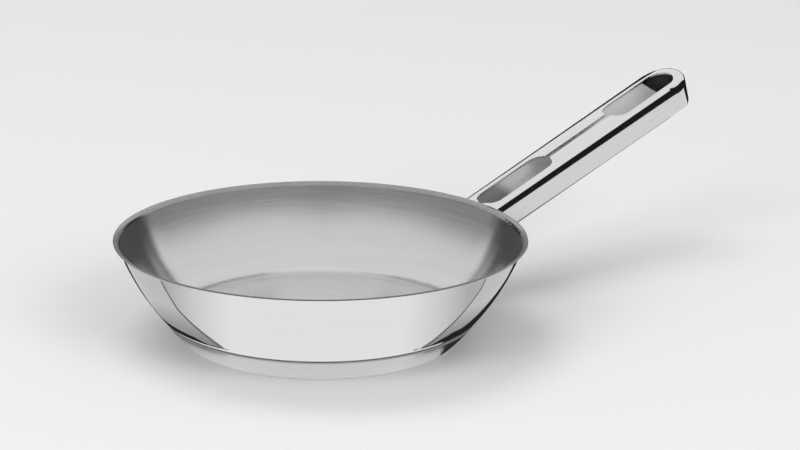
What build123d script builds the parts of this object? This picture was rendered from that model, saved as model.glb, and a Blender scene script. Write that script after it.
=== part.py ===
from build123d import *
from math import asin, cos, degrees, hypot, radians, sin, sqrt, tan
import os

# Omelette pan, 24 cm over the rim, in millimetres.
# The origin is the centre of the underside, +Z is up and the handle points along +X.

# Bowl, one pressed sheet
rim_radius = 120.0
pan_height = 60.0
bowl_sheet = 1.0
base_thickness = 10.4
bowl_corner_radius = 19.8
bowl_corner_turn = 51.0
wall_top_turn = 69.3
lip_bend_radius = 2.5
lip_slope = 12.0
lip_land = 1.2
lip_edge_rounding = 0.3

# Heat-spreading base: an aluminium disc inside a steel cup, both bonded to the bowl
cap_sheet = 0.8
cap_corner_radius = 3.0
cap_corner_turn = 43.0
cap_wall_turn = 53.0
cap_edge_rounding = 0.3
joint_turn = 35.0
core_edge_setback = 4.0
bond_gap = 0.1

# Handle, one folded sheet around a hollow
handle_angle = 17.75
handle_drop = 8.8
handle_length = 201.6
handle_root_width = 30.8
handle_tip_width = 34.1
handle_root_depth = 18.6
handle_tip_depth = 19.9
handle_sheet = 1.2
handle_crown_radius = 62.0
handle_top_rounding = 2.3
handle_bottom_rounding = 2.5
handle_inner_rounding = 0.5
seam_width = 3.4
seam_corner_radius = 2.5
opening_edge_rounding = 0.4
near_opening_start = 13.3
near_opening_length = 61.1
near_opening_width = 17.8
far_opening_rim = 7.8
far_opening_length = 60.6
far_opening_width = 19.6

# Bracket that carries the handle, and its welds
bracket_sheet = 2.0
bracket_edge_clearance = 3.8
bracket_reach = 10.0
bracket_gap = 0.15
weld_diameter = 5.0
weld_spread_share = 0.5

# Extra length that lets a cut run past the metal it goes through
overrun = 5.0

# Outline of the bowl's underside, worked inwards from the rim.
# Each arc is named by its turn, the angle of the sheet above the horizontal.
lip_end_height = pan_height - bowl_sheet * cos(radians(lip_slope))
lip_arc_radius = rim_radius - lip_land * cos(radians(lip_slope))
lip_arc_height = lip_end_height - lip_land * sin(radians(lip_slope))
wall_top_radius = lip_arc_radius - lip_bend_radius * (
    sin(radians(wall_top_turn)) - sin(radians(lip_slope))
)
wall_top_height = lip_arc_height - lip_bend_radius * (
    cos(radians(lip_slope)) - cos(radians(wall_top_turn))
)


def turned_flat(end_radius, end_height, low_height, corner_radius, corner_turn, end_turn):
    """Radius of the flat floor under a corner arc and a wall arc that end at a given point."""
    corner_rise = corner_radius * (1 - cos(radians(corner_turn)))
    wall_rise = end_height - low_height - corner_rise
    wall_run = wall_rise / tan(radians((corner_turn + end_turn) / 2))
    return end_radius - wall_run - corner_radius * sin(radians(corner_turn))


bowl_floor_radius = turned_flat(
    wall_top_radius,
    wall_top_height,
    base_thickness,
    bowl_corner_radius,
    bowl_corner_turn,
    wall_top_turn,
)
bowl_corner_centre = Vector(bowl_floor_radius, base_thickness + bowl_corner_radius)
bowl_corner_end = bowl_corner_centre + bowl_corner_radius * Vector(
    sin(radians(bowl_corner_turn)), -cos(radians(bowl_corner_turn))
)
wall_chord = hypot(
    wall_top_radius - bowl_corner_end.X, wall_top_height - bowl_corner_end.Y
)
wall_radius = wall_chord / (2 * sin(radians((wall_top_turn - bowl_corner_turn) / 2)))
wall_centre = bowl_corner_end + wall_radius * Vector(
    -sin(radians(bowl_corner_turn)), cos(radians(bowl_corner_turn))
)
lip_centre = Vector(wall_top_radius, wall_top_height) + lip_bend_radius * Vector(
    sin(radians(wall_top_turn)), -cos(radians(wall_top_turn))
)
lip_direction = Vector(cos(radians(lip_slope)), sin(radians(lip_slope)))


def bowl_path(depth):
    """One face of the bowl's sheet, depth above its underside, from the axis to the lip's edge."""
    floor = Line((0, base_thickness + depth), (bowl_floor_radius, base_thickness + depth))
    CenterArc(bowl_corner_centre, bowl_corner_radius - depth, -90, bowl_corner_turn)
    CenterArc(
        wall_centre,
        wall_radius - depth,
        bowl_corner_turn - 90,
        wall_top_turn - bowl_corner_turn,
    )
    bend = CenterArc(
        lip_centre,
        lip_bend_radius + depth,
        90 + wall_top_turn,
        lip_slope - wall_top_turn,
    )
    land = Line(bend @ 1, bend @ 1 + lip_land * lip_direction)
    return floor @ 0, land @ 1


def bowl_envelope(clearance):
    """Everything inside the bowl's outer face, with a clearance around it."""
    with BuildPart() as envelope:
        with BuildSketch(Plane.XZ):
            with BuildLine():
                axis_end, lip_end = bowl_path(-clearance)
                top = pan_height + overrun
                Polyline(lip_end, (lip_end.X, top), (0, top), axis_end)
            make_face()
        revolve(axis=Axis.Z)
    return envelope.part


with BuildPart() as bowl:
    with BuildSketch(Plane.XZ) as bowl_section:
        with BuildLine():
            under_axis, under_lip = bowl_path(0)
            upper_axis, upper_lip = bowl_path(bowl_sheet)
            Line(under_axis, upper_axis)
            Line(under_lip, upper_lip)
        make_face()
        lip_corners = bowl_section.vertices().sort_by(Axis.X)[-2:]
        fillet(lip_corners, min(lip_edge_rounding, bowl_sheet / 3))
    revolve(axis=Axis.Z)

# Outline of the base cup, whose upper edge meets the bowl on the bowl's corner arc
joint_point = bowl_corner_centre + (bowl_corner_radius + bond_gap) * Vector(
    sin(radians(joint_turn)), -cos(radians(joint_turn))
)
cap_end = joint_point + cap_sheet * Vector(
    sin(radians(cap_wall_turn)), -cos(radians(cap_wall_turn))
)
cap_floor_radius = turned_flat(
    cap_end.X, cap_end.Y, 0, cap_corner_radius, cap_corner_turn, cap_wall_turn
)
cap_corner_centre = Vector(cap_floor_radius, cap_corner_radius)
cap_corner_end = cap_corner_centre + cap_corner_radius * Vector(
    sin(radians(cap_corner_turn)), -cos(radians(cap_corner_turn))
)
cap_chord = hypot(cap_end.X - cap_corner_end.X, cap_end.Y - cap_corner_end.Y)
cap_wall_radius = cap_chord / (2 * sin(radians((cap_wall_turn - cap_corner_turn) / 2)))
cap_wall_centre = cap_corner_end + cap_wall_radius * Vector(
    -sin(radians(cap_corner_turn)), cos(radians(cap_corner_turn))
)


def cap_path(depth):
    """One face of the base cup's sheet, depth inside its outer face."""
    floor = Line((0, depth), (cap_floor_radius, depth))
    CenterArc(cap_corner_centre, cap_corner_radius - depth, -90, cap_corner_turn)
    wall = CenterArc(
        cap_wall_centre,
        cap_wall_radius - depth,
        cap_corner_turn - 90,
        cap_wall_turn - cap_corner_turn,
    )
    return floor @ 0, wall @ 1


with BuildPart() as base_cap:
    with BuildSketch(Plane.XZ) as cap_section:
        with BuildLine():
            outer_axis, outer_edge = cap_path(0)
            inner_axis, inner_edge = cap_path(cap_sheet)
            Line(outer_axis, inner_axis)
            Line(outer_edge, inner_edge)
        make_face()
        cap_corner = cap_section.vertices().sort_by(Axis.X)[-1]
        fillet(cap_corner, min(cap_edge_rounding, cap_sheet / 3))
    revolve(axis=Axis.Z)

bonded_bowl = bowl_envelope(bond_gap)

with BuildPart() as base_core:
    with BuildSketch(Plane.XZ):
        with BuildLine():
            core_axis, core_edge = cap_path(cap_sheet + bond_gap)
            Polyline(core_edge, (0, core_edge.Y), core_axis)
        make_face()
    revolve(axis=Axis.Z)
    with BuildSketch(Plane.XY):
        Circle(joint_point.X - core_edge_setback)
    extrude(amount=joint_point.Y, mode=Mode.INTERSECT)
    add(bonded_bowl, mode=Mode.SUBTRACT)

# The handle's own plane: origin on the centre line of its top, above the rim's radius
handle_slope = radians(handle_angle)
handle_plane = Plane(
    origin=(rim_radius, 0, pan_height - handle_drop),
    x_dir=(cos(handle_slope), 0, sin(handle_slope)),
    z_dir=(-sin(handle_slope), 0, cos(handle_slope)),
)
handle_along = Axis(handle_plane.origin, handle_plane.x_dir)
handle_up = Axis(handle_plane.origin, handle_plane.z_dir)
handle_side_plane = Plane(
    origin=handle_plane.origin, x_dir=handle_plane.x_dir, z_dir=-handle_plane.y_dir
)
# The handle's solid forms start well inside the bowl, and the bowl's outer face trims them
handle_root_overlap = 2 * handle_root_depth
crown_plane = Plane(
    origin=handle_plane.origin, x_dir=handle_plane.y_dir, z_dir=handle_plane.x_dir
)
crown_axis_point = handle_plane.origin - handle_crown_radius * handle_plane.z_dir
tip_radius = handle_tip_width / 2
tip_centre = handle_length - tip_radius
taper = asin((tip_radius - handle_root_width / 2) / tip_centre)


def half_width(along, inset):
    """Half of the handle's width at a place along it, for a form inset from its outer face."""
    return (tip_radius - inset) / cos(taper) - (tip_centre - along) * tan(taper)


def handle_form(inset, overlap):
    """The handle's solid form, inset from its outer face, with its front end inside the bowl."""
    radius = tip_radius - inset
    tangent = Vector(tip_centre - radius * sin(taper), radius * cos(taper))
    root_half = half_width(-overlap, inset)
    with BuildPart() as form:
        with BuildSketch(handle_plane):
            with BuildLine():
                Line((tangent.X, tangent.Y), (-overlap, root_half))
                Line((-overlap, root_half), (-overlap, -root_half))
                Line((-overlap, -root_half), (tangent.X, -tangent.Y))
                CenterArc(
                    (tip_centre, 0),
                    radius,
                    -90 - degrees(taper),
                    180 + 2 * degrees(taper),
                )
            make_face()
        extrude(amount=-2 * handle_tip_depth)
        with BuildSketch(crown_plane):
            with Locations(crown_plane.to_local_coords(crown_axis_point)):
                Circle(handle_crown_radius - inset)
        extrude(amount=2 * handle_length, both=True, mode=Mode.INTERSECT)
        with BuildSketch(handle_side_plane):
            bottom_start = -overlap - overrun
            bottom_end = handle_length + overrun
            depth_rate = (handle_tip_depth - handle_root_depth) / handle_length
            with BuildLine():
                Polyline(
                    (bottom_start, inset - handle_root_depth - depth_rate * bottom_start),
                    (bottom_end, inset - handle_root_depth - depth_rate * bottom_end),
                    (bottom_end, -3 * handle_tip_depth),
                    (bottom_start, -3 * handle_tip_depth),
                    close=True,
                )
            make_face()
        extrude(amount=handle_tip_width, both=True, mode=Mode.SUBTRACT)
        top_edges = form.faces().sort_by(handle_up)[-1].edges().sort_by(handle_along)[1:]
        fillet(top_edges, max(handle_top_rounding - inset, handle_inner_rounding))
        bottom_edges = form.faces().sort_by(handle_up)[0].edges().sort_by(handle_along)[1:]
        fillet(bottom_edges, max(handle_bottom_rounding - inset, handle_inner_rounding))
    return form.part


handle_outside = handle_form(0, handle_root_overlap)
handle_inside = handle_form(handle_sheet, handle_root_overlap + overrun)


def crown_distance(edge):
    """How far the middle of an edge lies from the crown's axis, seen along the handle."""
    offset = edge.position_at(0.5) - crown_axis_point
    return hypot(offset.Y, offset.dot(handle_plane.z_dir))


near_opening_centre = near_opening_start + near_opening_length / 2
far_opening_centre = handle_length - far_opening_rim - far_opening_length / 2

with BuildPart() as handle_shell:
    add(handle_outside)
    add(handle_inside, mode=Mode.SUBTRACT)
    with BuildSketch(handle_plane.offset(overrun)) as openings:
        with Locations((near_opening_centre, 0)):
            SlotOverall(near_opening_length, near_opening_width)
        with Locations((far_opening_centre, 0)):
            SlotOverall(far_opening_length, far_opening_width)
        seam_length = far_opening_centre + handle_root_overlap + overrun
        with Locations((far_opening_centre - seam_length / 2, 0)):
            Rectangle(seam_length, seam_width)
        seam_corners = openings.vertices().sort_by(Axis.X)
        fillet(
            seam_corners.filter_by(
                lambda corner: abs(abs(corner.Y) - seam_width / 2) < seam_width / 8
            )[2:],
            seam_corner_radius,
        )
    extrude(amount=-(overrun + handle_root_depth / 2), mode=Mode.SUBTRACT)
    opening_edges = handle_shell.edges(Select.LAST).filter_by(
        lambda edge: abs(crown_distance(edge) - handle_crown_radius) < handle_sheet / 4
    )
    fillet(
        opening_edges.sort_by(handle_along)[1:],
        min(opening_edge_rounding, handle_sheet / 3),
    )
    add(bonded_bowl, mode=Mode.SUBTRACT)


bracket_height = handle_root_depth - 2 * bracket_edge_clearance


def bracket_block(inset, height, overlap, reach):
    """A tapered block inside the handle, centred in its depth."""
    with BuildPart() as block:
        with BuildSketch(handle_plane.offset((height - handle_root_depth) / 2)):
            with BuildLine():
                Polyline(
                    (-overlap, half_width(-overlap, inset)),
                    (-overlap, -half_width(-overlap, inset)),
                    (reach, -half_width(reach, inset)),
                    (reach, half_width(reach, inset)),
                    close=True,
                )
            make_face()
        extrude(amount=-height)
    return block.part


bracket_outside = bracket_block(
    handle_sheet + bracket_gap, bracket_height, handle_root_overlap, bracket_reach
)
bracket_inside = bracket_block(
    handle_sheet + bracket_gap + bracket_sheet,
    handle_root_depth,
    handle_root_overlap + overrun,
    bracket_reach + overrun,
)
plated_bowl = bowl_envelope(bond_gap + bracket_sheet)

with BuildPart() as bracket_pocket:
    add(bracket_inside)
    add(plated_bowl, mode=Mode.SUBTRACT)

with BuildPart() as bracket_blank:
    add(bracket_outside)
    add(bonded_bowl, mode=Mode.SUBTRACT)
    add(bracket_pocket.part, mode=Mode.SUBTRACT)

# Where the middle line of the handle meets the bowl's wall, and the wall's direction there
middle_line = Vector(handle_plane.origin.X, handle_plane.origin.Z) - (
    handle_root_depth / 2
) * Vector(-sin(handle_slope), cos(handle_slope))
middle_direction = Vector(cos(handle_slope), sin(handle_slope))
from_centre = middle_line - wall_centre
along_line = from_centre.dot(middle_direction)
root_setback = along_line - sqrt(
    along_line**2 - from_centre.length**2 + wall_radius**2
)
root_point = middle_line - root_setback * middle_direction
root_normal = (root_point - wall_centre).normalized()
bowl_weld_plane = Plane(
    origin=(root_point.X, 0, root_point.Y),
    x_dir=(0, 1, 0),
    z_dir=(root_normal.X, 0, root_normal.Y),
)
handle_weld_plane = Plane(
    origin=(middle_line.X, 0, middle_line.Y),
    x_dir=handle_plane.x_dir,
    z_dir=handle_side_plane.z_dir,
)

# The welds spread over the same share of the plate's width and height and of the cheeks' length
root_facing = root_normal.dot(middle_direction)
plate_height = bracket_height / root_facing
plate_width = 2 * half_width(0, handle_sheet + bracket_gap + bracket_sheet)
cheek_start = bracket_sheet / root_facing - root_setback
cheek_length = bracket_reach - cheek_start

with BuildPart() as bowl_weld_rods:
    with BuildSketch(bowl_weld_plane.offset(-overrun)):
        with GridLocations(
            weld_spread_share * plate_width, weld_spread_share * plate_height, 2, 2
        ):
            Circle(weld_diameter / 2)
    extrude(amount=2 * overrun)

with BuildPart() as handle_weld_rods:
    with BuildSketch(handle_weld_plane):
        with Locations((cheek_start + cheek_length / 2, 0)):
            with GridLocations(weld_spread_share * cheek_length, weld_diameter, 2, 1):
                Circle(weld_diameter / 2)
    extrude(amount=handle_root_width, both=True)

with BuildPart() as handle_bracket:
    add(bracket_blank.part)
    add(bowl_weld_rods.part, mode=Mode.SUBTRACT)
    add(handle_weld_rods.part, mode=Mode.SUBTRACT)

with BuildPart() as bowl_weld_nuggets:
    add(bowl_weld_rods.part)
    add(bracket_blank.part, mode=Mode.INTERSECT)

with BuildPart() as handle_weld_nuggets:
    add(handle_weld_rods.part)
    add(bracket_blank.part, mode=Mode.INTERSECT)

pieces = {
    "bowl": bowl,
    "base_core": base_core,
    "base_cap": base_cap,
    "handle_shell": handle_shell,
    "handle_bracket": handle_bracket,
    "bowl_weld_nuggets": bowl_weld_nuggets,
    "handle_weld_nuggets": handle_weld_nuggets,
}
os.makedirs("parts", exist_ok=True)
for name, piece in pieces.items():
    piece.part.label = name
    export_step(piece.part, f"parts/{name}.step")
    print(name, len(piece.part.solids()), round(piece.part.volume, 1))
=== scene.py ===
from math import cos, pi, radians, sin, tan

import bpy
from mathutils import Matrix, Vector


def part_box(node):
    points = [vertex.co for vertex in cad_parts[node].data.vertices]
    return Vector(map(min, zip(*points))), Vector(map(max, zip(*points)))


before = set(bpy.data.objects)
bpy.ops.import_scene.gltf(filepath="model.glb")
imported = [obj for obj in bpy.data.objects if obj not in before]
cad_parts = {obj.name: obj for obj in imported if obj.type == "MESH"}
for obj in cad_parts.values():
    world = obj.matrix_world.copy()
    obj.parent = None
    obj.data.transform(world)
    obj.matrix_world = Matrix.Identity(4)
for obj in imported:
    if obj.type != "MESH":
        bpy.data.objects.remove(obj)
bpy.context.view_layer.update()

mm = 0.001

# The pan's own sizes
pan_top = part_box("bowl")[1].z
rim_radius = 120 * mm
lip_rise = 2.6 * mm
handle_tilt = radians(17.75)
handle_drop = 8.8 * mm
handle_sheet = 1.2 * mm
handle_depth = 19.0 * mm
handle_edge_rounding = 2.3 * mm
handle_tip_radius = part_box("handle_shell")[1].y
handle_length = 201.6 * mm
handle_straight = handle_length - handle_tip_radius
handle_top = Vector((rim_radius, 0, pan_top - handle_drop))
handle_along = Vector((cos(handle_tilt), 0, sin(handle_tilt)))
handle_up = Vector((-sin(handle_tilt), 0, cos(handle_tilt)))
across = Vector((0, 1, 0))

# Camera, at the photograph's viewing angle
camera_azimuth = radians(-44.01)
camera_elevation = radians(16.37)
camera_roll = radians(0.62)
camera_distance = 1.5
camera_aim = Vector((43.11, -21.11, 62.64)) * mm
camera_lens = 115.52

# Directions of the studio, seen from the camera
studio_right = Vector((cos(camera_azimuth), sin(camera_azimuth), 0))
studio_back = Vector((-sin(camera_azimuth), cos(camera_azimuth), 0))


def linear(hex_colour):
    """The linear colour of an sRGB hex value, with alpha."""
    channels = [int(hex_colour[i : i + 2], 16) / 255 for i in (1, 3, 5)]
    return [c / 12.92 if c <= 0.04045 else ((c + 0.055) / 1.055) ** 2.4 for c in channels] + [1]


def add(tree, kind, inputs=None, **settings):
    """Adds one node with its settings, and gives each input a value or a link: a node among the
    inputs is linked from its first output in use."""
    made = tree.nodes.new(kind)
    for name, value in settings.items():
        setattr(made, name, value)
    for name, value in (inputs or {}).items():
        if isinstance(value, bpy.types.Node):
            value = next(socket for socket in value.outputs if socket.enabled)
        if isinstance(value, bpy.types.NodeSocket):
            tree.links.new(value, made.inputs[name])
        else:
            made.inputs[name].default_value = value
    return made


def new_material(name):
    """A material with no nodes, and its node tree."""
    material = bpy.data.materials.new(name)
    material.use_nodes = True
    material.node_tree.nodes.clear()
    return material, material.node_tree


def turned_marks(tree, length, width, detail=3.0):
    """Marks that run in rings round the pan's axis."""
    place = add(tree, "ShaderNodeTexCoord").outputs["Object"]
    flat = add(tree, "ShaderNodeVectorMath", {0: place, 1: (1, 1, 0)}, operation="MULTIPLY")
    radius = add(tree, "ShaderNodeVectorMath", {0: flat}, operation="LENGTH")
    height = add(tree, "ShaderNodeSeparateXYZ", {0: place}).outputs["Z"]
    rings = add(tree, "ShaderNodeCombineXYZ", {"X": radius, "Y": height})
    narrow = add(tree, "ShaderNodeVectorMath", {0: rings, "Scale": 1 / width}, operation="SCALE")
    long = add(tree, "ShaderNodeVectorMath", {0: place, "Scale": 1 / length}, operation="SCALE")
    where = add(tree, "ShaderNodeVectorMath", {0: narrow, 1: long})
    return add(tree, "ShaderNodeTexNoise", {"Vector": where, "Scale": 1.0, "Detail": detail})


def drawn_marks(tree, length, width, detail=3.0):
    """Marks that run along the handle."""
    place = add(tree, "ShaderNodeTexCoord").outputs["Object"]
    turned = {"Vector": place, "Rotation": (0, -handle_tilt, 0), "Scale": (length, width, width)}
    where = add(tree, "ShaderNodeMapping", turned, vector_type="TEXTURE")
    return add(tree, "ShaderNodeTexNoise", {"Vector": where, "Scale": 1.0, "Detail": detail})


def even_marks(tree, size, detail=2.0):
    """Marks that run no special way."""
    place = add(tree, "ShaderNodeTexCoord").outputs["Object"]
    return add(tree, "ShaderNodeTexNoise", {"Vector": place, "Scale": 1 / size, "Detail": detail})


# Nearly all the marks lie between these two values
marks_range = {"From Min": 0.3, "From Max": 0.7}


def tones(tree, marks, dark, light):
    """Marks turned into colours between two hex values."""
    share = add(tree, "ShaderNodeMapRange", {"Value": marks, **marks_range})
    ends = {"Factor": share, "A": linear(dark), "B": linear(light)}
    return add(tree, "ShaderNodeMix", ends, data_type="RGBA")


# A quarter turn, which draws reflections out across the tangent
across_tangent = 0.25


def steel(tree, colour, roughness, relief, anisotropic=0.0, tangent=None, metallic=1.0):
    """The metal's shader, whose reflections are drawn out across the tangent if it is brushed."""
    inputs = {
        "Base Color": colour,
        "Metallic": metallic,
        "Roughness": roughness,
        "Normal": relief,
        "Anisotropic": anisotropic,
        "Anisotropic Rotation": across_tangent,
    }
    if tangent is not None:
        inputs["Tangent"] = tangent
    shader = add(tree, "ShaderNodeBsdfPrincipled", inputs)
    add(tree, "ShaderNodeOutputMaterial", {"Surface": shader})


def mirror_polished_bowl_steel():
    """18/10 stainless steel, pressed and mirror-polished outside: sharp reflections that bend
    a little over the long waves of the press, with a faint haze of polishing rings. Real rings
    are finer than a hair, and they are drawn 0.7 mm wide so that they show."""
    material, tree = new_material("mirror_polished_bowl_steel")
    rings = turned_marks(tree, length=40 * mm, width=0.7 * mm)
    press_waves = even_marks(tree, size=45 * mm)
    colour = tones(tree, rings, "#E2E2E2", "#E5E5E5")
    roughness = add(
        tree,
        "ShaderNodeMapRange",
        {"Value": rings, **marks_range, "To Min": 0.03, "To Max": 0.05},
    )
    waves = add(tree, "ShaderNodeBump", {"Height": press_waves, "Distance": 0.02 * mm})
    relief = add(
        tree,
        "ShaderNodeBump",
        {"Height": rings, "Distance": 0.0001 * mm, "Normal": waves},
    )
    steel(tree, colour, roughness, relief)
    return material


def satin_brushed_bowl_steel():
    """18/10 stainless steel, brushed in rings inside: soft reflections that are drawn out across
    the brushing, with fine rings. The floor's colour is painted a little paler than the wall's,
    as painted light. Real brushing lines are about 0.1 mm wide, and they are drawn 0.6 mm wide
    so that they show."""
    material, tree = new_material("satin_brushed_bowl_steel")
    floor_tone_end, wall_tone_start = 11.2 * mm, 14 * mm
    brushing = turned_marks(tree, length=35 * mm, width=0.6 * mm, detail=4.0)
    cloudiness = turned_marks(tree, length=60 * mm, width=9 * mm)
    wall_colour = add(
        tree,
        "ShaderNodeMix",
        {
            "Factor": 0.5,
            "A": tones(tree, brushing, "#D0D0D0", "#DADADA"),
            "B": tones(tree, cloudiness, "#D2D2D2", "#D8D8D8"),
        },
        data_type="RGBA",
    )
    place = add(tree, "ShaderNodeTexCoord").outputs["Object"]
    height = add(tree, "ShaderNodeSeparateXYZ", {0: place}).outputs["Z"]
    on_wall = add(
        tree,
        "ShaderNodeMapRange",
        {"Value": height, "From Min": floor_tone_end, "From Max": wall_tone_start},
    )
    # The floor is painted paler than the wall: painted light
    colour = add(
        tree,
        "ShaderNodeMix",
        {
            "Factor": on_wall,
            "A": tones(tree, brushing, "#E6E6E6", "#EEEEEE"),
            "B": wall_colour,
        },
        data_type="RGBA",
    )
    roughness = add(
        tree,
        "ShaderNodeMapRange",
        {"Value": brushing, **marks_range, "To Min": 0.18, "To Max": 0.23},
    )
    relief = add(tree, "ShaderNodeBump", {"Height": brushing, "Distance": 0.0007 * mm})
    ring_way = add(tree, "ShaderNodeTangent", direction_type="RADIAL", axis="Z")
    steel(tree, colour, roughness, relief, anisotropic=0.75, tangent=ring_way)
    return material


def polished_lip_steel():
    """The same sheet at the pouring lip, rolled over and buffed along its ring: soft reflections,
    with its colour painted darker than the wall's as painted shade, and the short rubs of
    pouring and stacking. Real buffing lines are about 0.1 mm wide, and they are drawn 0.5 mm
    wide so that they show."""
    material, tree = new_material("polished_lip_steel")
    buffing = turned_marks(tree, length=25 * mm, width=0.5 * mm, detail=4.0)
    rubs = even_marks(tree, size=3 * mm, detail=4.0)
    # The lip's colour is painted darker than the wall's: painted shade
    colour = tones(tree, rubs, "#969696", "#A2A2A2")
    roughness = add(
        tree,
        "ShaderNodeMapRange",
        {"Value": buffing, **marks_range, "To Min": 0.17, "To Max": 0.23},
    )
    relief = add(tree, "ShaderNodeBump", {"Height": buffing, "Distance": 0.0008 * mm})
    ring_way = add(tree, "ShaderNodeTangent", direction_type="RADIAL", axis="Z")
    steel(tree, colour, roughness, relief, anisotropic=0.5, tangent=ring_way)
    return material


def polished_base_steel():
    """Magnetic stainless steel of the cup under the base, polished on its side and turned in rings
    underneath: rings catch the light there, with the scuffs of a stove top. Real turning lines
    are about 0.2 mm apart, and they are drawn 0.8 mm wide so that they show."""
    material, tree = new_material("polished_base_steel")
    underside_end, side_start = 0.2 * mm, 1.0 * mm
    turning = turned_marks(tree, length=90 * mm, width=0.8 * mm)
    scuffs = even_marks(tree, size=2.5 * mm, detail=6.0)
    place = add(tree, "ShaderNodeTexCoord").outputs["Object"]
    height = add(tree, "ShaderNodeSeparateXYZ", {0: place}).outputs["Z"]
    on_side = add(
        tree,
        "ShaderNodeMapRange",
        {"Value": height, "From Min": underside_end, "From Max": side_start},
    )
    turned_roughness = add(
        tree,
        "ShaderNodeMapRange",
        {"Value": turning, **marks_range, "To Min": 0.22, "To Max": 0.32},
    )
    scuffed = add(
        tree,
        "ShaderNodeMapRange",
        {"Value": scuffs, **marks_range, "To Min": 0.0, "To Max": 0.08},
    )
    under_roughness = add(tree, "ShaderNodeMath", {0: turned_roughness, 1: scuffed}, operation="ADD")
    side_roughness = add(
        tree,
        "ShaderNodeMapRange",
        {"Value": turning, **marks_range, "To Min": 0.27, "To Max": 0.33},
    )
    roughness = add(
        tree,
        "ShaderNodeMix",
        {"Factor": on_side, "A": under_roughness, "B": side_roughness},
        data_type="FLOAT",
    )
    fainter_on_side = add(
        tree,
        "ShaderNodeMapRange",
        {"Value": on_side, "To Min": 1.0, "To Max": 0.04},
    )
    rings = add(tree, "ShaderNodeMath", {0: turning, 1: fainter_on_side}, operation="MULTIPLY")
    relief = add(tree, "ShaderNodeBump", {"Height": rings, "Distance": 0.01 * mm})
    steel(tree, tones(tree, turning, "#C5C5C5", "#CECECE"), roughness, relief)
    return material


def rolled_core_aluminium():
    """Pure aluminium of the heat-spreading disc, rolled and blanked: pale, soft and matt,
    with the fine grain of the rolls. It is closed in by the cup and the bowl."""
    material, tree = new_material("rolled_core_aluminium")
    grain = even_marks(tree, size=1.2 * mm, detail=4.0)
    roughness = add(
        tree,
        "ShaderNodeMapRange",
        {"Value": grain, **marks_range, "To Min": 0.34, "To Max": 0.46},
    )
    relief = add(tree, "ShaderNodeBump", {"Height": grain, "Distance": 0.01 * mm})
    steel(tree, tones(tree, grain, "#C9CACB", "#D8D9DA"), roughness, relief)
    return material


def mirror_polished_handle_steel():
    """18/10 stainless sheet of the handle, folded and mirror-polished lengthwise: sharp
    reflections that run along the handle, with faint lengthwise polishing lines. Real lines are
    finer than a hair, and they are drawn 0.5 mm wide so that they show."""
    material, tree = new_material("mirror_polished_handle_steel")
    lines = drawn_marks(tree, length=30 * mm, width=0.5 * mm)
    fold_waves = drawn_marks(tree, length=60 * mm, width=14 * mm)
    colour = tones(tree, lines, "#DEDEDE", "#E6E6E6")
    roughness = add(
        tree,
        "ShaderNodeMapRange",
        {"Value": lines, **marks_range, "To Min": 0.04, "To Max": 0.08},
    )
    waves = add(tree, "ShaderNodeBump", {"Height": fold_waves, "Distance": 0.004 * mm})
    relief = add(
        tree,
        "ShaderNodeBump",
        {"Height": lines, "Distance": 0.0001 * mm, "Normal": waves},
    )
    steel(tree, colour, roughness, relief)
    return material


def satin_handle_inside_steel():
    """The same sheet inside the handle, left as it came from the rolls and tumbled: its rough
    skin is matt and even grey, so it is only partly metallic. Its colour is painted darker at
    the root, as painted shade in the hollow. At the tip the polishing wheel has reached in
    through the opening, so there it is glossy, and its colour is painted near-black as painted
    shade in the hollow. The skin's grain is about 0.1 mm wide, and it is drawn 0.6 mm wide so
    that it shows."""
    material, tree = new_material("satin_handle_inside_steel")
    # Distances from the base's middle along a slanted line, so that the borders slant too
    slanted_line = (0.542, 0, 0.84)
    root_shade_full, root_shade_end = 134 * mm, 140 * mm
    tip_polish_and_shade_start, tip_polish_and_shade_full = 246.6 * mm, 247.4 * mm
    grain = drawn_marks(tree, length=6 * mm, width=0.6 * mm, detail=4.0)
    wheel_marks = even_marks(tree, size=5 * mm, detail=3.0)
    place = add(tree, "ShaderNodeTexCoord").outputs["Object"]
    reach = add(tree, "ShaderNodeVectorMath", {0: place, 1: slanted_line}, operation="DOT_PRODUCT")
    past_root_shade = add(
        tree,
        "ShaderNodeMapRange",
        {"Value": reach, "From Min": root_shade_full, "From Max": root_shade_end},
    )
    at_tip = add(
        tree,
        "ShaderNodeMapRange",
        {"Value": reach, "From Min": tip_polish_and_shade_start, "From Max": tip_polish_and_shade_full},
    )
    # Darker grey at the root: painted shade in the hollow
    skin = add(
        tree,
        "ShaderNodeMix",
        {
            "Factor": past_root_shade,
            "A": tones(tree, grain, "#9E9E9E", "#A8A8A8"),
            "B": tones(tree, grain, "#E6E6E6", "#F0F0F0"),
        },
        data_type="RGBA",
    )
    # Near-black at the tip: painted shade in the hollow
    colour = add(
        tree,
        "ShaderNodeMix",
        {"Factor": at_tip, "A": skin, "B": tones(tree, wheel_marks, "#2E2E2E", "#424242")},
        data_type="RGBA",
    )
    skin_roughness = add(
        tree,
        "ShaderNodeMapRange",
        {"Value": grain, **marks_range, "To Min": 0.55, "To Max": 0.65},
    )
    wheel_roughness = add(
        tree,
        "ShaderNodeMapRange",
        {"Value": wheel_marks, **marks_range, "To Min": 0.06, "To Max": 0.12},
    )
    roughness = add(
        tree,
        "ShaderNodeMix",
        {"Factor": at_tip, "A": skin_roughness, "B": wheel_roughness},
        data_type="FLOAT",
    )
    metallic = add(tree, "ShaderNodeMapRange", {"Value": at_tip, "To Min": 0.1, "To Max": 1.0})
    relief = add(tree, "ShaderNodeBump", {"Height": grain, "Distance": 0.003 * mm})
    steel(tree, colour, roughness, relief, metallic=metallic)
    return material


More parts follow.
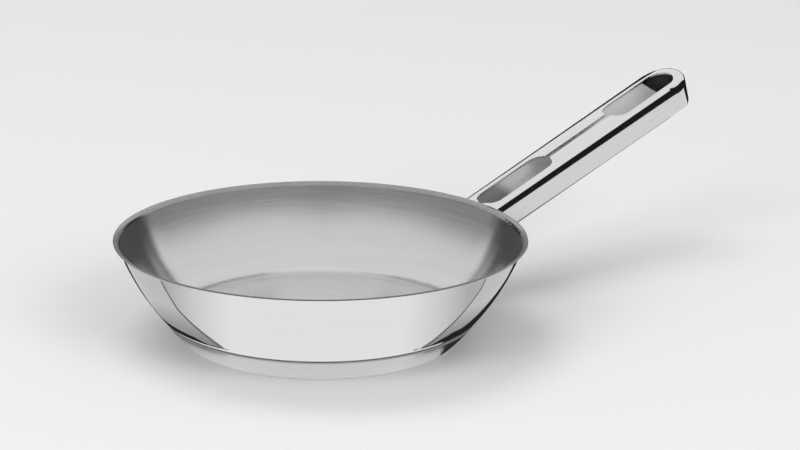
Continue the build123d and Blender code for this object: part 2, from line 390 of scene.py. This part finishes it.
def pressed_bracket_steel():
    """Stainless sheet of the bracket, pressed and pickled: dull, a little darker,
    with an even fine grain."""
    material, tree = new_material("pressed_bracket_steel")
    grain = even_marks(tree, size=0.9 * mm, detail=4.0)
    roughness = add(
        tree,
        "ShaderNodeMapRange",
        {"Value": grain, **marks_range, "To Min": 0.42, "To Max": 0.55},
    )
    relief = add(tree, "ShaderNodeBump", {"Height": grain, "Distance": 0.012 * mm})
    steel(tree, tones(tree, grain, "#A3A3A2", "#B4B4B3"), roughness, relief)
    return material


def spot_weld_steel():
    """Steel that was melted and pressed by the spot welder: straw and grey heat tints over
    a slightly pitted, half-glossy skin."""
    material, tree = new_material("spot_weld_steel")
    tint = even_marks(tree, size=3.0 * mm, detail=3.0)
    pits = even_marks(tree, size=0.6 * mm, detail=4.0)
    roughness = add(
        tree,
        "ShaderNodeMapRange",
        {"Value": pits, **marks_range, "To Min": 0.28, "To Max": 0.45},
    )
    relief = add(tree, "ShaderNodeBump", {"Height": pits, "Distance": 0.02 * mm})
    steel(tree, tones(tree, tint, "#8F857A", "#B8A98E"), roughness, relief)
    return material


def place_on_bowl(face):
    """0 for a face outside the bowl, 1 for one inside and 2 for one on top of the lip."""
    if face.normal.z <= 0:
        return 0
    return 2 if face.center.z > pan_top - lip_rise else 1


def place_on_handle(face):
    """0 for a face outside the handle or on the cut edge of an opening, and 1 for one in its
    hollow."""
    cut_edge_reach = handle_sheet + 2 * mm
    steepest_cut_edge = 0.6
    offset = face.center - handle_top
    along = min(offset.dot(handle_along), handle_straight)
    from_middle = offset - along * handle_along + handle_depth / 2 * handle_up
    near_top = -offset.dot(handle_up) < cut_edge_reach
    cut_edge = near_top and abs(face.normal.dot(handle_up)) < steepest_cut_edge
    return 0 if face.normal.dot(from_middle) >= 0 or cut_edge else 1


def dress(node, *materials, place=lambda face: 0):
    """Gives a CAD node its materials, and each of its faces the one for its place."""
    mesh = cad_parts[node].data
    mesh.materials.clear()
    for material in materials:
        mesh.materials.append(material)
    for face in mesh.polygons:
        face.material_index = place(face)


dress(
    "bowl",
    mirror_polished_bowl_steel(),
    satin_brushed_bowl_steel(),
    polished_lip_steel(),
    place=place_on_bowl,
)
dress("base_cap", polished_base_steel())
dress("base_core", rolled_core_aluminium())
dress(
    "handle_shell",
    mirror_polished_handle_steel(),
    satin_handle_inside_steel(),
    place=place_on_handle,
)
dress("handle_bracket", pressed_bracket_steel())
weld_steel = spot_weld_steel()
dress("bowl_weld_nuggets", weld_steel)
dress("handle_weld_nuggets", weld_steel)


# Studio: a pale floor, soft light, and cards that show only in the polished steel
backdrop_hex = "#F4F4F4"
paper_hex = "#EBEBEB"
floor_radius = 12.0
floor_gap = 0.2 * mm
gutter_radius = 14 * mm
lamp_size = 2.4
world_light = 0.52


def pale_world():
    """The backdrop's pale grey to the eye and in reflections, and a plain light level elsewhere."""
    world = bpy.data.worlds.new("pale_world")
    bpy.context.scene.world = world
    world.use_nodes = True
    tree = world.node_tree
    tree.nodes.clear()
    path = add(tree, "ShaderNodeLightPath").outputs
    seen = add(
        tree,
        "ShaderNodeMath",
        {0: path["Is Camera Ray"], 1: path["Is Glossy Ray"]},
        operation="MAXIMUM",
    )
    seen_or_through = add(
        tree,
        "ShaderNodeMath",
        {0: seen, 1: path["Is Transmission Ray"]},
        operation="MAXIMUM",
    )
    light = add(tree, "ShaderNodeBackground", {"Color": linear("#FFFFFF"), "Strength": world_light})
    backdrop = add(tree, "ShaderNodeBackground", {"Color": linear(backdrop_hex), "Strength": 1.0})
    both = add(tree, "ShaderNodeMixShader", {0: seen_or_through, 1: light, 2: backdrop})
    add(tree, "ShaderNodeOutputWorld", {"Surface": both})


def pale_studio_paper():
    """Matt pale paper that takes the shadow and is clear from below. It glows in reflections:
    less where it lies behind and beside the pan and more in front of it, and evenly further out."""
    material, tree = new_material("pale_studio_paper")
    near_glow_end, even_glow_start = 180 * mm, 320 * mm
    beside_share, front_share = 0.34, 0.82
    place = add(tree, "ShaderNodeTexCoord").outputs["Object"]
    radius = add(tree, "ShaderNodeVectorMath", {0: place}, operation="LENGTH")
    way = add(tree, "ShaderNodeVectorMath", {0: place}, operation="NORMALIZE")
    frontness = add(
        tree,
        "ShaderNodeVectorMath",
        {0: way, 1: -studio_back},
        operation="DOT_PRODUCT",
    )
    in_front = add(
        tree,
        "ShaderNodeMapRange",
        {"Value": frontness, "From Min": beside_share, "From Max": front_share},
    )
    near_glow = add(
        tree,
        "ShaderNodeMix",
        {"Factor": in_front, "A": linear("#BEBEBE"), "B": linear("#FAFAFA")},
        data_type="RGBA",
    )
    far_out = add(
        tree,
        "ShaderNodeMapRange",
        {"Value": radius, "From Min": near_glow_end, "From Max": even_glow_start},
    )
    glow = add(
        tree,
        "ShaderNodeMix",
        {"Factor": far_out, "A": near_glow, "B": linear("#E8E8E8")},
        data_type="RGBA",
    )
    paper = add(tree, "ShaderNodeBsdfDiffuse", {"Color": linear(paper_hex)})
    bright = add(tree, "ShaderNodeEmission", {"Color": glow, "Strength": 1.0})
    in_reflection = add(tree, "ShaderNodeLightPath").outputs["Is Glossy Ray"]
    top = add(tree, "ShaderNodeMixShader", {0: in_reflection, 1: paper, 2: bright})
    from_below = add(tree, "ShaderNodeNewGeometry").outputs["Backfacing"]
    clear = add(tree, "ShaderNodeBsdfTransparent")
    both = add(tree, "ShaderNodeMixShader", {0: from_below, 1: top, 2: clear})
    add(tree, "ShaderNodeOutputMaterial", {"Surface": both})
    return material


def mesh_object(name, points, faces, material):
    """A mesh of the studio, which is no part of the object."""
    mesh = bpy.data.meshes.new(name)
    mesh.from_pydata(points, [], faces)
    mesh.materials.append(material)
    made = bpy.data.objects.new(name, mesh)
    bpy.context.scene.collection.objects.link(made)
    return made


def floor():
    """The round pale floor, just under the base."""
    corners = 96
    turns = [2 * pi * i / corners for i in range(corners)]
    points = [(floor_radius * cos(turn), floor_radius * sin(turn), -floor_gap) for turn in turns]
    mesh_object("floor", points, [list(range(corners))], pale_studio_paper())


def studio_place(right, back, up):
    """A place in the studio, in millimetres from the pan's centre, seen from the camera."""
    return (right * studio_right + back * studio_back + Vector((0, 0, up))) * mm


def card(name, points, faces, material):
    """A studio card that shows only in reflections."""
    made = mesh_object(name, points, faces, material)
    made.visible_camera = False
    made.visible_diffuse = False
    made.visible_shadow = False
    made.visible_transmission = False


def strip_faces(rows, columns, turned_over=False):
    """The four-cornered faces between rows of points, or the same faces turned over."""
    starts = [row * columns + column for row in range(rows - 1) for column in range(columns - 1)]
    if turned_over:
        return [(i, i + 1, i + columns + 1, i + columns) for i in starts]
    return [(i, i + columns, i + columns + 1, i + 1) for i in starts]


def plain_card_material(name, hex_colour):
    """An evenly lit card."""
    material, tree = new_material(name)
    face = add(tree, "ShaderNodeEmission", {"Color": linear(hex_colour), "Strength": 1.0})
    add(tree, "ShaderNodeOutputMaterial", {"Surface": face})
    return material


def shaded_card_material(name, near_hex, far_hex, near, far):
    """A card that lies round the pan and is darker at one side: near and far are radii."""
    material, tree = new_material(name)
    place = add(tree, "ShaderNodeTexCoord").outputs["Object"]
    radius = add(tree, "ShaderNodeVectorMath", {0: place}, operation="LENGTH")
    share = add(tree, "ShaderNodeMapRange", {"Value": radius, "From Min": near, "From Max": far})
    ends = {"Factor": share, "A": linear(near_hex), "B": linear(far_hex)}
    shade = add(tree, "ShaderNodeMix", ends, data_type="RGBA")
    face = add(tree, "ShaderNodeEmission", {"Color": shade, "Strength": 1.0})
    add(tree, "ShaderNodeOutputMaterial", {"Surface": face})
    return material


def one_sided_card_material(name, hex_colour):
    """An evenly lit card that is clear from behind."""
    material, tree = new_material(name)
    face = add(tree, "ShaderNodeEmission", {"Color": linear(hex_colour), "Strength": 1.0})
    clear = add(tree, "ShaderNodeBsdfTransparent")
    from_behind = add(tree, "ShaderNodeNewGeometry").outputs["Backfacing"]
    both = add(tree, "ShaderNodeMixShader", {0: from_behind, 1: face, 2: clear})
    add(tree, "ShaderNodeOutputMaterial", {"Surface": both})
    return material


def flat_card(name, corners, up, material):
    """A card that lies on the floor: its corners are places in the studio."""
    points = [studio_place(right, back, up) for right, back in corners]
    card(name, points, [list(range(len(points)))], material)


def card_edging(name, path, width, up, material):
    """A narrow strip along a path on the floor."""
    other_side = [(right, back + width) for right, back in reversed(path)]
    flat_card(name, path + other_side, up, material)


def floor_cards():
    """Cards on the floor beside and behind the pan, with the edgings that show as fine lines."""
    under_wall, clear_of_wall, edging_dark = 88 * mm, 122 * mm, 140 * mm
    # The grey cards are darker near the pan: painted shadow, for the pan's contact shadow on the
    # floor as the steel mirrors it
    grey = shaded_card_material("grey_floor_card", "#868686", "#CFCFCF", under_wall, clear_of_wall)
    behind_grey = plain_card_material("grey_behind_card", "#A0A0A0")
    black = plain_card_material("black_floor_card", "#262626")
    edging = shaded_card_material("dark_card_edging", "#7C7C7C", "#404040", under_wall, edging_dark)
    left_border = [
        (-55, -71.5), (-63.9, -70.1), (-72.7, -67.8), (-82.9, -64.1), (-94.9, -59.3),
        (-107.8, -53.5), (-117.3, -52.1), (-133.4, -48.6), (-146.8, -44.5), (-900, -40),
    ]
    left_inner_side = [
        (-900, 120), (-60, 120), (-84, 20), (-88.5, 0), (-84, -28), (-75.5, -46.5),
        (-66, -59.3), (-57, -68),
    ]
    left_black_border = [
        (-61, -65.4), (-70.5, -59.5), (-80, -50), (-86.8, -39), (-92.2, -26.2), (-96.2, -13),
        (-101, 8.5), (-110.6, 25.8), (-119, 34), (-129, 48), (-145, 70), (-190, 130),
    ]
    left_black_inner_side = [
        (-190, 240), (-60, 240), (-60, 60), (-88.3, 0), (-87.4, -12.3), (-84.9, -24.3),
        (-80.7, -35.9), (-74.9, -46.8), (-67.6, -56.7), (-60.4, -64.6),
    ]
    right_border = [
        (59.3, -67), (66, -64.2), (76, -59.6), (88, -54.7), (100, -48.6), (112.5, -42.8),
        (132, -32.5), (146, -25.5), (235, 12),
    ]
    right_black_border = [
        (66, -62.5), (73.5, -56.5), (81, -49.5), (88.5, -41), (94, -29), (101.5, -16.6),
        (110, -1.8), (120, 18), (129, 42), (135, 60), (143, 73), (235, 200),
    ]
    right_black_inner_side = [
        (235, 240), (50, 240), (50, -10), (64, -38), (72, -43), (77, -43), (74.9, -46.8),
        (69.3, -54.7), (63.7, -61.2),
    ]
    behind = [(-130, 250), (130, 250), (450, 1950), (-450, 1950)]
    grey_up, black_up, edging_up = 1.0, 1.5, 2.0
    flat_card("left_floor_card", left_border + left_inner_side, grey_up, grey)
    flat_card("right_floor_card", right_border + right_black_border[::-1], grey_up, grey)
    flat_card("left_black_card", left_black_border + left_black_inner_side, black_up, black)
    flat_card("right_black_card", right_black_border + right_black_inner_side, black_up, black)
    flat_card("behind_floor_card", behind, grey_up, behind_grey)
    card_edging("left_dark_edging", left_border, 2.2, edging_up, edging)
    card_edging("right_dark_edging", right_border, 2.0, edging_up, edging)


def inside_flag(name, profile, turn_from, turn_to, material):
    """A strip just inside the pan's upper wall, which is clear from the wall's own side: turns
    are in degrees round the pan, from the handle, and the profile holds radii and heights."""
    steps = 24
    turns = [radians(turn_from + (turn_to - turn_from) * i / steps) for i in range(steps + 1)]
    points = [
        Vector((radius * cos(turn), radius * sin(turn), height)) * mm
        for radius, height in profile
        for turn in turns
    ]
    card(name, points, strip_faces(len(profile), len(turns)), material)


def inside_flags():
    """Dark strips for the two ends of the inside, which mirror the wall beside them, and short
    ones that widen them at the lip."""
    dark = one_sided_card_material("dark_inside_flag", "#4E4E4E")
    lip_profile = [(114.3, 56), (115.4, 59.5)]
    wall_profile = [(105.8, 38), (107.9, 42), (111.4, 49)] + lip_profile
    inside_flag("left_inside_flag", wall_profile, 62, 150, dark)
    inside_flag("right_inside_flag", wall_profile, -58, 30, dark)
    inside_flag("left_lip_flag", lip_profile, 57, 62, dark)
    inside_flag("right_lip_flag", lip_profile, 30, 38, dark)


def way_out_at(turn):
    """The way outwards at a turn round the handle's tip, in degrees from the near side."""
    return sin(radians(turn)) * handle_along - cos(radians(turn)) * across


def along_top_edge(start_share, turns):
    """Places along one long edge of the handle's top and round the tip, each with its way
    outwards: the first of the turns is the long edge's."""
    shares = (start_share, 0.5, 1.0)
    long_edge = [(share * handle_straight * handle_along, way_out_at(turns[0])) for share in shares]
    return long_edge + [(handle_straight * handle_along, way_out_at(turn)) for turn in turns[1:]]


def handle_gutter(name, places, drop, turn_from, turn_to, material):
    """A gutter round one long edge of the handle, drop below its top. It spans a range of turns,
    in degrees, from the way up to the way outwards."""
    steps = 12
    inset = handle_tip_radius - handle_edge_rounding
    turns = [radians(turn_from + (turn_to - turn_from) * i / steps) for i in range(steps + 1)]
    points = [
        handle_top + place + inset * outwards - drop * handle_up
        + gutter_radius * (cos(turn) * handle_up + sin(turn) * outwards)
        for turn in turns
        for place, outwards in places
    ]
    card(name, points, strip_faces(len(turns), len(places), turned_over=True), material)


def tip_flag(material):
    """A curved flag past the handle's tip, which reaches further round at its top."""
    top_turn, top_drop = 40, 5 * mm
    bottom_turn, bottom_drop = 70, 42 * mm
    end_turn = 120
    steps = 10
    tip_centre = handle_top + handle_straight * handle_along
    radius = handle_tip_radius + gutter_radius
    points = [
        tip_centre + radius * way_out_at(start + (end_turn - start) * step / steps) - drop * handle_up
        for step in range(steps + 1)
        for start, drop in ((top_turn, top_drop), (bottom_turn, bottom_drop))
    ]
    card("tip_flag", points, strip_faces(steps + 1, 2, turned_over=True), material)


def handle_flags():
    """Black gutters close to the handle: they draw the stripe on its near edge and the fine
    lines on its far edge, its lower edge and its tip."""
    black = plain_card_material("black_handle_flag", "#202020")
    near_edge = along_top_edge(start_share=0.04, turns=range(0, 61, 6))
    far_edge = along_top_edge(start_share=-0.01, turns=range(180, 71, -6))
    lower_edge = near_edge[:3]
    handle_gutter("near_edge_flag", near_edge, 0, -18, 139, black)
    handle_gutter("far_edge_flag", far_edge, 0, 81, 130, black)
    handle_gutter("lower_edge_flag", lower_edge, handle_depth, 178, 240, black)
    tip_flag(black)


def height_at(turn, tops):
    """The height in degrees at a turn, between the turns and heights of a list."""
    for (low_turn, low_top), (high_turn, high_top) in zip(tops, tops[1:]):
        if low_turn <= turn <= high_turn:
            return low_top + (turn - low_turn) / (high_turn - low_turn) * (high_top - low_top)


def horizon_wall(name, radius, turn_from, turn_to, tops, material):
    """A far wall that stands on the horizon: turns are in degrees from behind the pan, to the
    right, and tops are pairs of a turn, to either side, and a height in degrees."""
    steps = 80
    points = []
    for i in range(steps + 1):
        turn = turn_from + (turn_to - turn_from) * i / steps
        from_behind = min(turn % 360, 360 - turn % 360)
        top = radius * tan(radians(height_at(from_behind, tops)))
        right, back = radius * sin(radians(turn)), radius * cos(radians(turn))
        points += [studio_place(right, back, 0), studio_place(right, back, top)]
    card(name, points, strip_faces(steps + 1, 2), material)


def horizon_walls():
    """A grey wall behind the pan, a dark and a darker one to each side of it, and a grey one
    round the sides that is high in front."""
    near, far = 1980, 2000
    dark = plain_card_material("dark_horizon_wall", "#303030")
    middle_grey = plain_card_material("middle_grey_horizon_wall", "#484848")
    grey = plain_card_material("grey_horizon_wall", "#868686")
    behind_grey = plain_card_material("grey_behind_wall", "#A0A0A0")
    behind_tops = [(0, 20), (24, 20)]
    middle_tops = [(24, 24), (44, 26)]
    dark_tops = [(44, 26), (47.5, 15), (51, 13.8), (54, 11.7), (59, 10.8), (62, 8.5)]
    grey_tops = [
        (54, 11.7), (57, 15), (65, 19.5), (75, 23), (90, 28), (105, 31), (130, 35), (180, 40.5),
    ]
    horizon_wall("behind_horizon_wall", near, -24, 24, behind_tops, behind_grey)
    horizon_wall("left_middle_horizon_wall", near, -44, -24, middle_tops, middle_grey)
    horizon_wall("right_middle_horizon_wall", near, 24, 44, middle_tops, middle_grey)
    horizon_wall("left_dark_horizon_wall", near, -62, -44, dark_tops, dark)
    horizon_wall("right_dark_horizon_wall", near, 44, 62, dark_tops, dark)
    horizon_wall("grey_horizon_wall", far, 54, 306, grey_tops, grey)


def soft_lamp(name, place, power):
    """A large soft lamp that points at the pan and doesn't show in the polished steel."""
    lamp = bpy.data.lights.new(name, "AREA")
    lamp.shape = "SQUARE"
    lamp.size = lamp_size
    lamp.energy = power
    made = bpy.data.objects.new(name, lamp)
    made.location = place
    made.rotation_euler = (-place).to_track_quat("-Z", "Y").to_euler()
    made.visible_glossy = False
    bpy.context.scene.collection.objects.link(made)


def camera():
    """The photograph's viewpoint, aimed at the middle of the pan and its handle."""
    back = Vector(
        (
            sin(camera_azimuth) * cos(camera_elevation),
            -cos(camera_azimuth) * cos(camera_elevation),
            sin(camera_elevation),
        )
    )
    right = studio_right
    up = back.cross(right)
    rolled_right = right * cos(camera_roll) + up * sin(camera_roll)
    rolled_up = -right * sin(camera_roll) + up * cos(camera_roll)
    made = bpy.data.objects.new("camera", bpy.data.cameras.new("camera"))
    made.data.lens = camera_lens
    turned = Matrix((rolled_right, rolled_up, back)).transposed().to_4x4()
    made.matrix_world = Matrix.Translation(camera_aim + camera_distance * back) @ turned
    bpy.context.scene.collection.objects.link(made)
    bpy.context.scene.camera = made


pale_world()
floor()
floor_cards()
inside_flags()
handle_flags()
horizon_walls()
soft_lamp("overhead_lamp", studio_place(-1200, 900, 4200), power=44.0)
soft_lamp("front_left_lamp", studio_place(-2400, -2900, 2400), power=66.0)
soft_lamp("front_right_lamp", studio_place(2400, -2900, 2400), power=66.0)
camera()
bpy.context.scene.view_settings.view_transform = "Standard"
